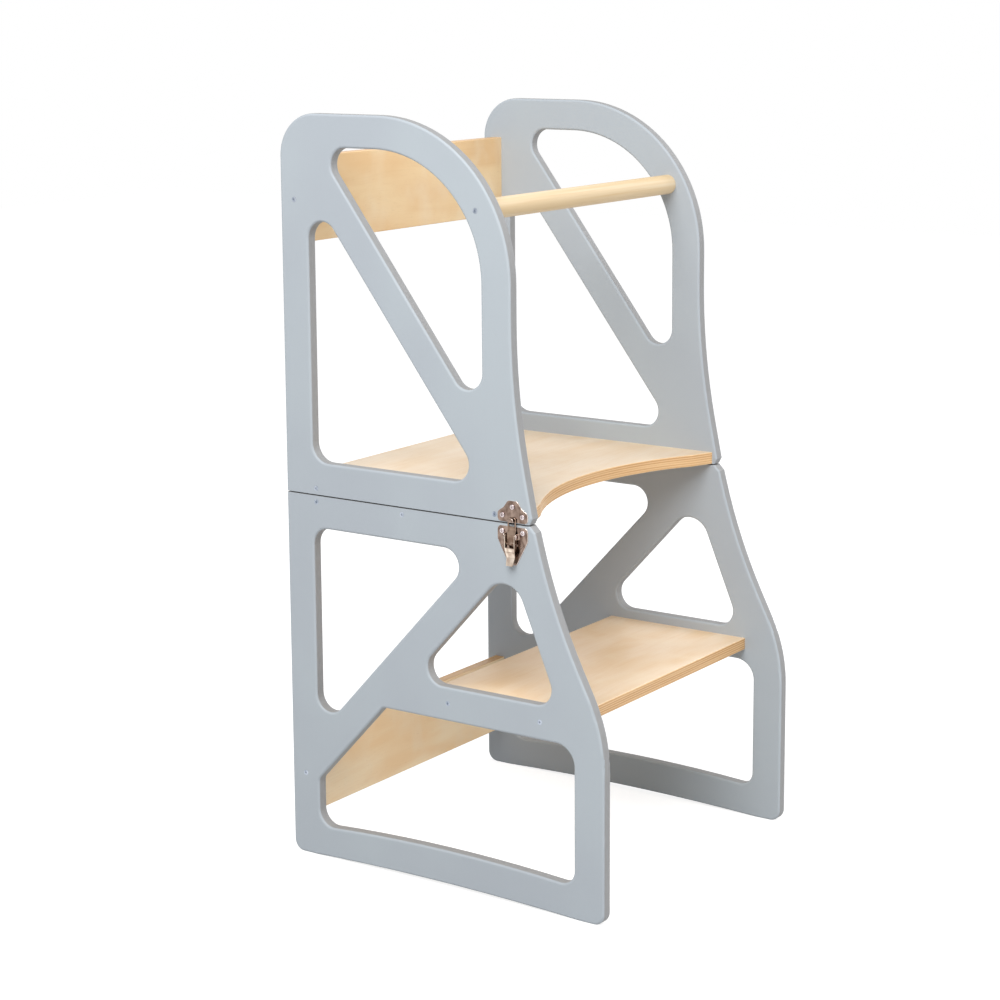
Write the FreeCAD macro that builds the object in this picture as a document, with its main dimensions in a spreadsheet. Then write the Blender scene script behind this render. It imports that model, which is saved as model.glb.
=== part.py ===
import FreeCAD, Part
import os

import Sketcher

# A child's learning tower in two sections, in millimetres. X runs across, -Y is the side the child climbs in
# from, +Y is the rear, and Z = 0 is the floor. Left is -X. Each right-hand piece mirrors its left-hand twin.

doc = FreeCAD.newDocument("LearningTower")
sheet = doc.addObject("Spreadsheet::Sheet", "Sizes")

# Driving dimensions -------------------------------------------------------------------------------------

SIZES = {
    # whole tower
    "clear_width": 400.0,
    "ply": 15.0,
    "front_edge": -226.6,
    "rear_edge": 222.0,
    "split_low": 449.2,
    "split_high": 450.8,
    "face_round": 3.0,
    "board_round": 1.2,
    # the notch at the front end of the split line: its depth along the split, and its height on each front edge
    "nose_depth": 5.0,
    "nose_height": 7.0,
    "lower_nose_front": -1.84,
    "upper_nose_front": 1.46,
    # feet: the flat length of each, and the height of the arch between them
    "foot_length": 35.0,
    "arch_height": 4.4,
    # step board
    "step_front": -174.5,
    "step_rear": 24.0,
    "step_top": 232.8,
    # hinge board, flush with the rear edge
    "hinge_board_front": 6.0,
    # platform: a straight front at each end, hollowed by one large arc between
    "platform_corner": -124.5,
    "platform_bend": -113.0,
    "platform_bend_half": 170.0,
    "platform_middle": -66.5,
    # rear boards, set in from the rear edge
    "rear_board_front": 194.0,
    "guard_bottom": 749.0,
    "guard_top": 849.5,
    "stretcher_bottom": 52.3,
    "stretcher_top": 150.2,
    # front rail
    "rail_diameter": 24.0,
    "rail_centre_y": -57.2,
    "rail_centre_z": 798.5,
    # panel screws
    "screw_shank": 4.0,
    "screw_hole": 4.06,
    "screw_length": 45.0,
    "screw_head": 6.4,
    "screw_head_depth": 1.3,
    "countersink": 6.7,
    "recess_width": 0.9,
    "recess_depth": 0.9,
    "screw_recess": 3.2,
    "screw_cone_relief": 0.05,
    # how far a hole or a cut runs on past what it makes room for
    "drill_spare": 0.5,
    "cut_spare": 1.0,
    # hinges: two butt hinges with five knuckles each, let into the boards
    "pivot_gap": 2.0,
    "hinge_centre": 120.0,
    "hinge_length": 63.0,
    "leaf_width": 22.0,
    "leaf_ply": 1.4,
    "leaf_gap": 0.3,
    "barrel_diameter": 6.0,
    "barrel_room": 0.4,
    "hinge_pin": 3.0,
    "hinge_pin_hole": 3.1,
    "knuckle_gap": 0.3,
    "hinge_screw_shank": 2.5,
    "hinge_screw_hole": 2.56,
    "hinge_screw_head": 4.8,
    "hinge_screw_head_depth": 1.15,
    "hinge_countersink": 5.0,
    "hinge_screw_length": 11.0,
    "hinge_screw_pitch": 22.0,
    "hinge_screw_back": 14.0,
    "hinge_screw_recess": 2.4,
    # latches: distances run out from the panel's face, and up or down from the split line
    "latch_centre_y": -106.0,
    "plate": 1.2,
    "latch_screw_shank": 2.2,
    "latch_screw_hole": 2.26,
    "latch_screw_head": 6.2,
    "latch_screw_head_height": 1.3,
    "latch_screw_head_round": 0.9,
    "latch_screw_length": 11.0,
    "latch_screw_recess": 3.0,
    "pivot_out": 5.2,
    "pivot_down": 13.5,
    "pivot_eye": 5.2,
    "claw_pin_out": 4.6,
    "claw_pin_down": 22.0,
    "latch_pin": 1.8,
    "latch_pin_hole": 1.88,
    "rivet_head": 3.2,
    "rivet_head_height": 0.5,
    "claw_width": 11.2,
    "claw_knuckle": 3.8,
    "claw_ply": 1.1,
    "claw_face": 2.9,
    "claw_joggle_face": 5.2,
    "claw_top": 7.6,
    "claw_bar_low": 3.45,
    "joggle_low": -12.6,
    "joggle_high": -6.6,
    "joggle_slack": 0.4,
    "claw_shoulder": 2.5,
    "window_low": -2.4,
    "window_width": 7.8,
    "lever_inner_width": 11.8,
    "lever_ply": 1.0,
    "lever_face": 7.8,
    "lever_back": 2.6,
    "lever_end": -47.0,
    "lever_end_width": 9.0,
    "web_top": -26.5,
    "web_shoulder": -28.0,
    "web_hollow": -37.5,
    "web_hollow_depth": 2.5,
    "web_flare": 0.7,
    "flange_low": -24.5,
    "flange_toe": -31.5,
    "flange_toe_depth": 1.6,
    "ear_inner_width": 14.8,
    "ear_reach": 8.2,
    "ear_half": 3.4,
    "ear_round": 2.6,
    "tongue_width": 7.0,
    "tongue_ply": 1.1,
    "tongue_reach": 5.6,
    "tongue_low": 2.0,
    "tongue_top": 7.0,
}

# Panel corners, each with its Y, its Z and the radius that rounds it. A radius of 0 leaves the corner sharp.
UPPER_PANEL = [
    ("rear_low", 222.0, 450.8, 0),
    ("rear_high", 222.0, 900.0, 50),
    ("front_high", -103.3, 900.0, 183),
    ("front_bend", -103.5, 590.0, 850),
    ("front_low", -132.7, 450.8, 0),
]
LOWER_PANEL = [
    ("rear_low", 222.0, 0.0, 14),
    ("rear_high", 222.0, 449.2, 0),
    ("front_high", -133.4, 449.2, 0),
    ("front_bend", -157.1, 358.4, 680),
    ("front_knee", -226.6, 222.0, 187),
    ("front_low", -226.6, 0.0, 14),
]
UPPER_PANEL_HOLES = {
    "window": [
        ("rear_high", 166.8, 861.5, 20),
        ("front_high", -63.3, 861.5, 147),
        ("low", -64.0, 556.7, 20),
    ],
    "triangle": [
        ("high", 181.8, 815.5, 20.4),
        ("front_low", -65.6, 489.5, 20.7),
        ("rear_low", 181.8, 489.5, 23.3),
    ],
}
LOWER_PANEL_HOLES = {
    "triangle": [
        ("rear_high", 182.2, 410.0, 20.9),
        ("front_high", -56.4, 410.0, 20.9),
        ("low", 182.2, 153.3, 20.3),
    ],
    "front_triangle": [
        ("high", -100.7, 400.5, 27.2),
        ("rear_low", 42.0, 244.7, 20.4),
        ("front_low", -165.7, 244.7, 19.8),
    ],
    "base_window": [
        ("rear_high", 82.4, 204.0, 7),
        ("front_high", -186.5, 204.0, 24.8),
        ("front_low", -186.5, 39.4, 17),
        ("sill", -5.7, 51.6, 2400),
        ("rear_low", 181.7, 37.4, 20.8),
        ("rear_bend", 181.7, 97.2, 10),
    ],
}

# Screws through each side panel: name, Y and Z.
UPPER_SCREWS = [
    ("guard", 201.5, 799.5),
    ("rail", -57.2, 798.5),
    ("platform_rear", 177.0, 458.3),
    ("platform_front", -80.5, 458.3),
]
LOWER_SCREWS = [
    ("hinge_board_rear", 177.0, 441.7),
    ("hinge_board_front", 50.0, 441.7),
    ("step_rear", -13.0, 225.3),
    ("step_front", -141.0, 225.3),
    ("stretcher", 201.5, 102.0),
]
# Screws of the latch, across and up from the latch's centre on the split line.
CATCH_SCREWS = [("top", 0.0, 19.5), ("front", -13.5, 9.2), ("rear", 13.5, 9.2)]
BASE_SCREWS = [("front", -14.0, -9.0), ("rear", 14.0, -9.0), ("tip", 0.0, -38.0)]


# The line that the upper section folds about.
PIVOT_Z = "(Sizes.split_low + Sizes.split_high) / 2"
PIVOT_Y = "Sizes.rear_edge + Sizes.pivot_gap"


def set_cell(row, alias, value):
    """Writes one named size into the sheet."""
    sheet.set("A%d" % row, alias)
    sheet.set("B%d" % row, repr(float(value)))
    sheet.setAlias("B%d" % row, alias)


def fill_sheet():
    """Puts the sizes, the panel corners and the screw places into the sheet."""
    cells = dict(SIZES)
    outlines = {"upper_panel": UPPER_PANEL, "lower_panel": LOWER_PANEL}
    outlines.update({"upper_" + name: hole for name, hole in UPPER_PANEL_HOLES.items()})
    outlines.update({"lower_" + name: hole for name, hole in LOWER_PANEL_HOLES.items()})
    for outline, corners in outlines.items():
        for corner, y, z, radius in corners:
            cells["%s_%s_y" % (outline, corner)] = y
            cells["%s_%s_z" % (outline, corner)] = z
            if radius:
                cells["%s_%s_round" % (outline, corner)] = radius
    for group, screws in (("upper", UPPER_SCREWS), ("lower", LOWER_SCREWS), ("catch", CATCH_SCREWS),
                          ("base", BASE_SCREWS)):
        for name, y, z in screws:
            cells["%s_screw_%s_y" % (group, name)] = y
            cells["%s_screw_%s_z" % (group, name)] = z
    for row, (alias, value) in enumerate(cells.items(), start=1):
        set_cell(row, alias, value)
    doc.recompute()


def size(alias):
    """A size read back from the sheet."""
    return float(getattr(sheet, alias))


# Sketching helpers --------------------------------------------------------------------------------------

def new_body(name):
    """An empty body with the node's name."""
    body = doc.addObject("PartDesign::Body", name)
    body.Label = name
    body.AllowCompound = True
    return body


def new_sketch(body, name, role, offset=None):
    """A sketch on one of the body's own origin planes. The offset, an expression, moves it off the plane."""
    sketch = body.newObject("Sketcher::SketchObject", name)
    plane = [feature for feature in body.Origin.OriginFeatures if feature.Role == role][0]
    sketch.AttachmentSupport = [(plane, "")]
    sketch.MapMode = "FlatFace"
    if offset:
        sketch.setExpression("AttachmentOffset.Base.z", offset)
    return sketch


def pin_point(sketch, geometry, end, across, up, label):
    """Fixes one end of a sketch line at two sheet expressions."""
    for kind, expression, axis in (("DistanceX", across, "across"), ("DistanceY", up, "up")):
        point = sketch.getPoint(geometry, end)
        value = point.x if kind == "DistanceX" else point.y
        index = sketch.addConstraint(Sketcher.Constraint(kind, -1, 1, geometry, end, value))
        sketch.renameConstraint(index, "%s_%s" % (label, axis))
        sketch.setExpression("Constraints.%s_%s" % (label, axis), expression)


def add_polygon(sketch, points):
    """A closed polygon. Each point is a name and two sheet expressions, for across and up."""
    values = [FreeCAD.Vector(value_of(across), value_of(up), 0) for _, across, up in points]
    first = sketch.GeometryCount
    count = len(points)
    for index in range(count):
        sketch.addGeometry(Part.LineSegment(values[index], values[(index + 1) % count]), False)
    for index in range(count):
        following = first + (index + 1) % count
        sketch.addConstraint(Sketcher.Constraint("Coincident", first + index, 2, following, 1))
    for index, (name, across, up) in enumerate(points):
        pin_point(sketch, first + index, 1, across, up, name)


def add_circle(sketch, name, across, up, diameter):
    """A circle whose centre and diameter come from the sheet."""
    centre = FreeCAD.Vector(value_of(across), value_of(up), 0)
    index = sketch.addGeometry(Part.Circle(centre, FreeCAD.Vector(0, 0, 1), value_of(diameter) / 2), False)
    pin_point(sketch, index, 3, across, up, name)
    bound = sketch.addConstraint(Sketcher.Constraint("Diameter", index, value_of(diameter)))
    sketch.renameConstraint(bound, name + "_diameter")
    sketch.setExpression("Constraints.%s_diameter" % name, diameter)


def value_of(expression):
    """The present value of a sheet expression."""
    return float(sheet.evalExpression(expression.replace("Sizes.", "")))


def rectangle(left, right, low, high):
    """The four corners of a rectangle, as named expressions."""
    return [("low_left", left, low), ("low_right", right, low), ("high_right", right, high),
            ("high_left", left, high)]


def pad(body, name, sketch, length, reverse=False, both=False):
    """Extrudes a sketch by a sheet expression."""
    feature = body.newObject("PartDesign::Pad", name)
    feature.Profile = sketch
    feature.setExpression("Length", length)
    feature.Reversed = reverse
    feature.Midplane = both
    doc.recompute()
    return feature


def pocket(body, name, sketch, length, reverse=False, both=False):
    """Cuts a sketch into the body, and makes sure that it took something away."""
    before = body.Shape.Volume
    feature = body.newObject("PartDesign::Pocket", name)
    feature.Profile = sketch
    feature.setExpression("Length", length)
    feature.Reversed = reverse
    feature.Midplane = both
    doc.recompute()
    if body.Shape.Volume > before - 1e-3:
        raise RuntimeError("%s in %s cuts nothing" % (name, body.Label))
    return feature


def countersunk_holes(body, name, sketch, hole, countersink, reverse):
    """Countersunk holes at a sketch's circles, right through the body."""
    before = body.Shape.Volume
    holes = body.newObject("PartDesign::Hole", name + "_screw_holes")
    holes.Profile = sketch
    doc.recompute()
    holes.Reversed = reverse
    holes.DepthType = "ThroughAll"
    holes.Threaded = False
    holes.setExpression("Diameter", "Sizes." + hole)
    holes.HoleCutType = "Countersink"
    holes.HoleCutCustomValues = True
    holes.setExpression("HoleCutDiameter", "Sizes." + countersink)
    holes.HoleCutCountersinkAngle = 90
    doc.recompute()
    if body.Shape.Volume > before - 1:
        raise RuntimeError("no screw holes in " + name)


def round_edges(body, name, radius, wanted):
    """Fillets the edges of the body's last feature that the test accepts."""
    base = body.Tip
    edges = ["Edge%d" % (index + 1) for index, edge in enumerate(base.Shape.Edges) if wanted(edge)]
    feature = body.newObject("PartDesign::Fillet", name)
    feature.Base = (base, edges)
    feature.setExpression("Radius", radius)
    doc.recompute()
    return feature


def runs_along(edge, axis):
    """True for a straight edge along the axis, 0 for X, 1 for Y and 2 for Z."""
    if not isinstance(edge.Curve, Part.Line):
        return False
    return abs(abs(edge.Curve.Direction[axis]) - 1) < 1e-6


def is_at(edge, **places):
    """True when the edge's middle lies at the given places, such as x=0."""
    middle = edge.CenterOfMass
    return all(abs(getattr(middle, axis) - place) < 0.01 for axis, place in places.items())


def mirror(source, name):
    """The right-hand twin of a left-hand piece."""
    twin = doc.addObject("Part::Mirroring", name)
    twin.Label = name
    twin.Source = source
    twin.Normal = FreeCAD.Vector(1, 0, 0)
    return twin


# Side panels --------------------------------------------------------------------------------------------

def corner_points(outline, corners):
    """The corners of an outline as named sheet expressions."""
    return [(corner, "Sizes.%s_%s_y" % (outline, corner), "Sizes.%s_%s_z" % (outline, corner))
            for corner, _, _, _ in corners]


def round_corners(body, outline, corners):
    """Rounds each corner of an outline with its own radius, the largest first."""
    for corner, y, z, radius in sorted(corners, key=lambda each: -each[3]):
        if radius:
            round_edges(body, "%s_%s" % (outline, corner), "Sizes.%s_%s_round" % (outline, corner),
                        lambda edge: runs_along(edge, 0) and is_at(edge, y=y, z=z))


def side_panel(name, section, corners, holes, screws, plate, plate_screws):
    """A painted side panel: rounded outline, cut-outs, softened faces and screw holes."""
    body = new_body(name)
    outline = section + "_panel"
    sketch = new_sketch(body, name + "_outline", "YZ_Plane")
    add_polygon(sketch, corner_points(outline, corners))
    pad(body, name + "_board", sketch, "Sizes.ply")
    for hole, hole_corners in holes.items():
        hole_outline = "%s_%s" % (section, hole)
        cut = new_sketch(body, "%s_%s" % (name, hole), "YZ_Plane")
        add_polygon(cut, corner_points(hole_outline, hole_corners))
        pocket(body, "%s_%s_cut" % (name, hole), cut, "Sizes.ply * 3", both=True)
        round_corners(body, hole_outline, hole_corners)
    round_corners(body, outline, corners)
    if section == "lower":
        cut_arch(body, name)
    cut_nose(body, name, section)
    faces = (0.0, size("ply"))
    split = size("split_low" if section == "lower" else "split_high")
    round_edges(body, name + "_softened", "Sizes.face_round",
                lambda edge: is_flat_edge(edge, faces) and not is_at_split(edge, split))
    screw_holes(body, name, section, screws)
    plate_pilots(body, name, plate, plate_screws)
    body.setExpression("Placement.Base.x", "-Sizes.clear_width / 2 - Sizes.ply")
    return body


def cut_arch(body, name):
    """Hollows the lower panel's underside with one shallow arc, so that it stands on a foot at each end."""
    half_span = "((Sizes.rear_edge - Sizes.front_edge) / 2 - Sizes.foot_length)"
    radius = "(%s ^ 2 + Sizes.arch_height ^ 2) / (2 * Sizes.arch_height)" % half_span
    sketch = new_sketch(body, name + "_arch", "YZ_Plane")
    add_circle(sketch, "arch", "(Sizes.rear_edge + Sizes.front_edge) / 2", "Sizes.arch_height - " + radius,
               "2 * " + radius)
    pocket(body, name + "_arch_cut", sketch, "Sizes.ply * 3", both=True)


def is_flat_edge(edge, faces):
    """True for an edge that lies in one of the panel's two faces."""
    box = edge.BoundBox
    return box.XLength < 1e-6 and min(abs(box.XMin - face) for face in faces) < 1e-6


def is_at_split(edge, height):
    """True for an edge of the face where the two sections meet."""
    return edge.BoundBox.ZLength < 1e-6 and abs(edge.BoundBox.ZMin - height) < 1e-6


def cut_nose(body, name, section):
    """Trims the front end of the split line to a short slope, so that the two sections part in a notch."""
    corner, sign = ("front_high", "-") if section == "lower" else ("front_low", "+")
    y = "Sizes.%s_panel_%s_y" % (section, corner)
    z = "Sizes.%s_panel_%s_z" % (section, corner)
    beyond = "%s %s Sizes.nose_height" % (z, sign)
    sketch = new_sketch(body, name + "_nose", "YZ_Plane")
    add_polygon(sketch, [
        ("on_split", y + " + Sizes.nose_depth", z),
        ("outside", y + " - 4 * Sizes.nose_depth", z),
        ("outside_front", y + " - 4 * Sizes.nose_depth", beyond),
        ("on_front", "%s + Sizes.%s_nose_front" % (y, section), beyond),
    ])
    pocket(body, name + "_nose_cut", sketch, "Sizes.ply * 3", both=True)


def screw_holes(body, name, section, screws):
    """Countersunk holes from the outer face."""
    sketch = new_sketch(body, name + "_screw_places", "YZ_Plane")
    for screw, _, _ in screws:
        add_circle(sketch, screw, "Sizes.%s_screw_%s_y" % (section, screw),
                   "Sizes.%s_screw_%s_z" % (section, screw), "Sizes.screw_hole")
    doc.recompute()
    countersunk_holes(body, name, sketch, "screw_hole", "countersink", True)


def plate_pilots(body, name, plate, screws):
    """Pilot holes in the outer face for the screws of the latch plate that it carries."""
    sketch = new_sketch(body, name + "_plate_pilots", "YZ_Plane")
    for screw, _, _ in screws:
        add_circle(sketch, screw, "Sizes.latch_centre_y + Sizes.%s_screw_%s_y" % (plate, screw),
                   "%s + Sizes.%s_screw_%s_z" % (PIVOT_Z, plate, screw), "Sizes.latch_screw_hole")
    pocket(body, name + "_plate_drilled", sketch, "Sizes.latch_screw_length", True)


# Boards and rail ----------------------------------------------------------------------------------------

def board(name, outline, underside, screw_section, screws, height="Sizes.ply"):
    """A lacquered board: an outline in plan, raised from its underside, softened and drilled at both ends."""
    body = new_body(name)
    sketch = new_sketch(body, name + "_outline", "XY_Plane", underside)
    outline(sketch)
    pad(body, name + "_board", sketch, height)
    half = size("clear_width") / 2
    round_edges(body, name + "_softened", "Sizes.board_round",
                lambda edge: edge.BoundBox.ZLength < 1e-6 and abs(abs(edge.CenterOfMass.x) - half) > 0.01)
    pilot_holes(body, name, screw_section, screws)
    return body


def plain_outline(front, rear):
    """A rectangle as wide as the gap between the side panels."""
    return lambda sketch: add_polygon(
        sketch, rectangle("-Sizes.clear_width / 2", "Sizes.clear_width / 2", front, rear))


def platform_outline(sketch):
    """The platform in plan: its front edge runs back from each corner, and a large arc joins the two bends."""
    half, bend = "Sizes.clear_width / 2", "Sizes.platform_bend_half"
    points = [
        ("left_bend", "-" + bend, "Sizes.platform_bend"),
        ("left_corner", "-" + half, "Sizes.platform_corner"),
        ("left_rear", "-" + half, "Sizes.rear_edge"),
        ("right_rear", half, "Sizes.rear_edge"),
        ("right_corner", half, "Sizes.platform_corner"),
        ("right_bend", bend, "Sizes.platform_bend"),
    ]
    places = [FreeCAD.Vector(value_of(across), value_of(up), 0) for _, across, up in points]
    middle = FreeCAD.Vector(0, size("platform_middle"), 0)
    for start, end in zip(places, places[1:]):
        sketch.addGeometry(Part.LineSegment(start, end), False)
    arc = sketch.addGeometry(Part.Arc(places[-1], middle, places[0]), False)
    for index in range(len(places) - 2):
        sketch.addConstraint(Sketcher.Constraint("Coincident", index, 2, index + 1, 1))
    starts_right = sketch.getPoint(arc, 1).distanceToPoint(places[-1]) < 1e-6
    right_end, left_end = (1, 2) if starts_right else (2, 1)
    sketch.addConstraint(Sketcher.Constraint("Coincident", len(places) - 2, 2, arc, right_end))
    sketch.addConstraint(Sketcher.Constraint("Coincident", 0, 1, arc, left_end))
    for index, (name, across, up) in enumerate(points[:-1]):
        pin_point(sketch, index, 1, across, up, name)
    pin_point(sketch, len(places) - 2, 2, points[-1][1], points[-1][2], points[-1][0])
    rise = "(Sizes.platform_middle - Sizes.platform_bend)"
    radius = "(%s ^ 2 + %s ^ 2) / (2 * %s)" % (bend, rise, rise)
    bound = sketch.addConstraint(Sketcher.Constraint("Radius", arc, value_of(radius)))
    sketch.renameConstraint(bound, "hollow_radius")
    sketch.setExpression("Constraints.hollow_radius", radius)


def pilot_holes(body, name, section, screws):
    """Screw holes in both ends of a board or rail."""
    for end, offset, reverse in (("left", "-Sizes.clear_width / 2", True),
                                 ("right", "Sizes.clear_width / 2", False)):
        sketch = new_sketch(body, "%s_%s_pilots" % (name, end), "YZ_Plane", offset)
        for screw in screws:
            add_circle(sketch, screw, "Sizes.%s_screw_%s_y" % (section, screw),
                       "Sizes.%s_screw_%s_z" % (section, screw), "Sizes.screw_hole")
        pocket(body, "%s_%s_drilled" % (name, end), sketch, "Sizes.screw_length - Sizes.ply + Sizes.drill_spare", reverse)


def let_in_hinges(body, name, face, upper):
    """Rebates for the hinge leaves, room for their barrels and pilot holes for their screws."""
    leaf_face = "(Sizes.leaf_gap + Sizes.leaf_ply - (Sizes.split_high - Sizes.split_low) / 2)"
    rebates = new_sketch(body, name + "_rebates", "XY_Plane", face)
    pilots = new_sketch(body, name + "_hinge_pilots", "XY_Plane", face)
    barrels = new_sketch(body, name + "_barrels", "YZ_Plane")
    for side, sign in (("left", "-"), ("right", "")):
        centre = sign + "Sizes.hinge_centre"
        add_polygon(rebates, [(side + point, across, up) for point, across, up in rectangle(
            centre + " - Sizes.hinge_length / 2", centre + " + Sizes.hinge_length / 2",
            "Sizes.rear_edge - Sizes.leaf_width", "Sizes.rear_edge + Sizes.cut_spare")])
        for index, step in enumerate((-1, 0, 1)):
            add_circle(pilots, "%s%d" % (side, index), "%s + %d * Sizes.hinge_screw_pitch" % (centre, step),
                       PIVOT_Y + " - Sizes.hinge_screw_back", "Sizes.hinge_screw_hole")
    pocket(body, name + "_rebated", rebates, leaf_face, upper)
    pocket(body, name + "_hinge_drilled", pilots, "Sizes.hinge_screw_length + Sizes.cut_spare", upper)
    add_circle(barrels, "barrel", PIVOT_Y, PIVOT_Z, "Sizes.barrel_diameter + 2 * Sizes.barrel_room")
    pocket(body, name + "_barrel_groove", barrels,
           "2 * Sizes.hinge_centre + Sizes.hinge_length + Sizes.cut_spare", both=True)


def rail():
    """The round rail between the upper panels."""
    body = new_body("front_rail")
    sketch = new_sketch(body, "front_rail_section", "YZ_Plane")
    add_circle(sketch, "rail", "Sizes.rail_centre_y", "Sizes.rail_centre_z", "Sizes.rail_diameter")
    pad(body, "front_rail_rod", sketch, "Sizes.clear_width", both=True)
    pilot_holes(body, "front_rail", "upper", ["rail"])
    return body


# Screws -------------------------------------------------------------------------------------------------

def cross_recess(body, name, role, face, places, length, reverse):
    """A cross-shaped recess in each screw head."""
    arm = "Sizes.%s / 2" % length
    side = "Sizes.recess_width / 2"
    for turn, (wide, tall) in enumerate(((arm, side), (side, arm))):
        sketch = new_sketch(body, "%s_recess_%d" % (name, turn), role, face)
        for screw, across, up in places:
            add_polygon(sketch, [(screw + point, x, y) for point, x, y in rectangle(
                "%s - %s" % (across, wide), "%s + %s" % (across, wide),
                "%s - %s" % (up, tall), "%s + %s" % (up, tall))])
        pocket(body, "%s_recessed_%d" % (name, turn), sketch, "Sizes.recess_depth", reverse)


def flush_screws(name, role, face, places, kind, inward):
    """Countersunk screws, one for each place, with their heads flush with a face."""
    body = new_body(name)
    shanks = new_sketch(body, name + "_shanks", role, face)
    heads = new_sketch(body, name + "_heads", role, face)
    for screw, across, up in places:
        add_circle(shanks, screw, across, up, "Sizes.%s_shank" % kind)
        add_circle(heads, screw, across, up, "Sizes.%s_head" % kind)
    pad(body, name + "_shank_rods", shanks, "Sizes.%s_length" % kind, reverse=not inward)
    pad(body, name + "_head_discs", heads, "Sizes.%s_head_depth" % kind, reverse=not inward)
    axis = 0 if role == "YZ_Plane" else 2
    level = value_of(face) if face else 0.0
    inner = level + size(kind + "_head_depth") * (1 if inward else -1)
    radius = size(kind + "_head") / 2
    discs = body.Tip
    edges = ["Edge%d" % (index + 1) for index, edge in enumerate(discs.Shape.Edges)
             if isinstance(edge.Curve, Part.Circle) and abs(edge.Curve.Radius - radius) < 1e-6
             and abs(edge.CenterOfMass[axis] - inner) < 1e-6]
    cone = body.newObject("PartDesign::Chamfer", name + "_cones")
    cone.Base = (discs, edges)
    cone.setExpression("Size", "(Sizes.%s_head - Sizes.%s_shank) / 2 - Sizes.screw_cone_relief" % (kind, kind))
    doc.recompute()
    cross_recess(body, name, role, face, places, kind + "_recess", inward)
    return body


def panel_screws(name, section, screws):
    """The screws that go in through one side panel's outer face."""
    places = [(screw, "Sizes.%s_screw_%s_y" % (section, screw), "Sizes.%s_screw_%s_z" % (section, screw))
              for screw, _, _ in screws]
    body = flush_screws(name, "YZ_Plane", None, places, "screw", True)
    body.setExpression("Placement.Base.x", "-Sizes.clear_width / 2 - Sizes.ply")
    return body


def domed_screws(name, group, screws):
    """The small domed screws that hold a latch plate."""
    body = new_body(name)
    places = [(screw, "Sizes.%s_screw_%s_y" % (group, screw), "Sizes.%s_screw_%s_z" % (group, screw))
              for screw, _, _ in screws]
    shanks = new_sketch(body, name + "_shanks", "YZ_Plane", "-Sizes.plate")
    heads = new_sketch(body, name + "_heads", "YZ_Plane", "-Sizes.plate")
    for screw, across, up in places:
        add_circle(shanks, screw, across, up, "Sizes.latch_screw_shank")
        add_circle(heads, screw, across, up, "Sizes.latch_screw_head")
    pad(body, name + "_shank_rods", shanks, "Sizes.latch_screw_length")
    pad(body, name + "_head_discs", heads, "Sizes.latch_screw_head_height", reverse=True)
    outer = -size("plate") - size("latch_screw_head_height")
    round_edges(body, name + "_domes", "Sizes.latch_screw_head_round",
                lambda edge: isinstance(edge.Curve, Part.Circle) and is_at(edge, x=outer))
    cross_recess(body, name, "YZ_Plane", "-Sizes.plate - Sizes.latch_screw_head_height", places,
                 "latch_screw_recess", True)
    place_on_latch(body)
    return body


# Hinges -------------------------------------------------------------------------------------------------

def place_on_pivot(body):
    """Moves a piece that is drawn about the hinge line to the left hinge."""
    body.setExpression("Placement.Base.x", "-Sizes.hinge_centre")
    body.setExpression("Placement.Base.y", PIVOT_Y)
    body.setExpression("Placement.Base.z", PIVOT_Z)


def hinge_leaf(name, upper):
    """One leaf with its knuckles, drawn about the hinge line."""
    body = new_body(name)
    half = "Sizes.hinge_length / 2"
    sign = "" if upper else "-"
    plate = new_sketch(body, name + "_plate", "XY_Plane", sign + "Sizes.leaf_gap")
    add_polygon(plate, rectangle("-" + half, half, "-Sizes.leaf_width - Sizes.pivot_gap", "0"))
    pad(body, name + "_leaf", plate, "Sizes.leaf_ply", reverse=not upper)
    barrel = new_sketch(body, name + "_barrel", "YZ_Plane")
    add_circle(barrel, "barrel", "0", "0", "Sizes.barrel_diameter")
    pad(body, name + "_tube", barrel, "Sizes.hinge_length", both=True)
    bore = new_sketch(body, name + "_bore", "YZ_Plane")
    add_circle(bore, "bore", "0", "0", "Sizes.hinge_pin_hole")
    pocket(body, name + "_bored", bore, "2 * Sizes.hinge_length", both=True)
    gaps = new_sketch(body, name + "_gaps", "XY_Plane")
    for knuckle in ((0, 2, 4) if upper else (1, 3)):
        low = "(%g) * Sizes.hinge_length - Sizes.knuckle_gap / 2" % (knuckle / 5 - 0.5)
        high = "(%g) * Sizes.hinge_length + Sizes.knuckle_gap / 2" % ((knuckle + 1) / 5 - 0.5)
        add_polygon(gaps, [("%s_%d" % (point, knuckle), across, up) for point, across, up in rectangle(
            low, high, "-Sizes.barrel_diameter / 2 - Sizes.barrel_room", "Sizes.barrel_diameter")])
    pocket(body, name + "_knuckles", gaps, "2 * Sizes.barrel_diameter", both=True)
    leaf_holes(body, name, sign, upper)
    place_on_pivot(body)
    return body


def leaf_holes(body, name, sign, upper):
    """Three countersunk holes, open towards the other leaf."""
    sketch = new_sketch(body, name + "_screw_places", "XY_Plane", sign + "Sizes.leaf_gap")
    for index, step in enumerate((-1, 0, 1)):
        add_circle(sketch, "screw_%d" % index, "%d * Sizes.hinge_screw_pitch" % step, "-Sizes.hinge_screw_back",
                   "Sizes.hinge_screw_hole")
    countersunk_holes(body, name, sketch, "hinge_screw_hole", "hinge_countersink", upper)


def hinge_screws(name, upper):
    """All six screws of the two lower or the two upper leaves."""
    sign = "" if upper else "-"
    face = "%s %s Sizes.leaf_gap" % (PIVOT_Z, "+" if upper else "-")
    places = []
    for side, minus in (("left", "-"), ("right", "")):
        for index, step in enumerate((-1, 0, 1)):
            places.append(("%s_%d" % (side, index), "%sSizes.hinge_centre + %d * Sizes.hinge_screw_pitch"
                           % (minus, step), PIVOT_Y + " - Sizes.hinge_screw_back"))
    return flush_screws(name, "XY_Plane", face, places, "hinge_screw", upper)


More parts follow.
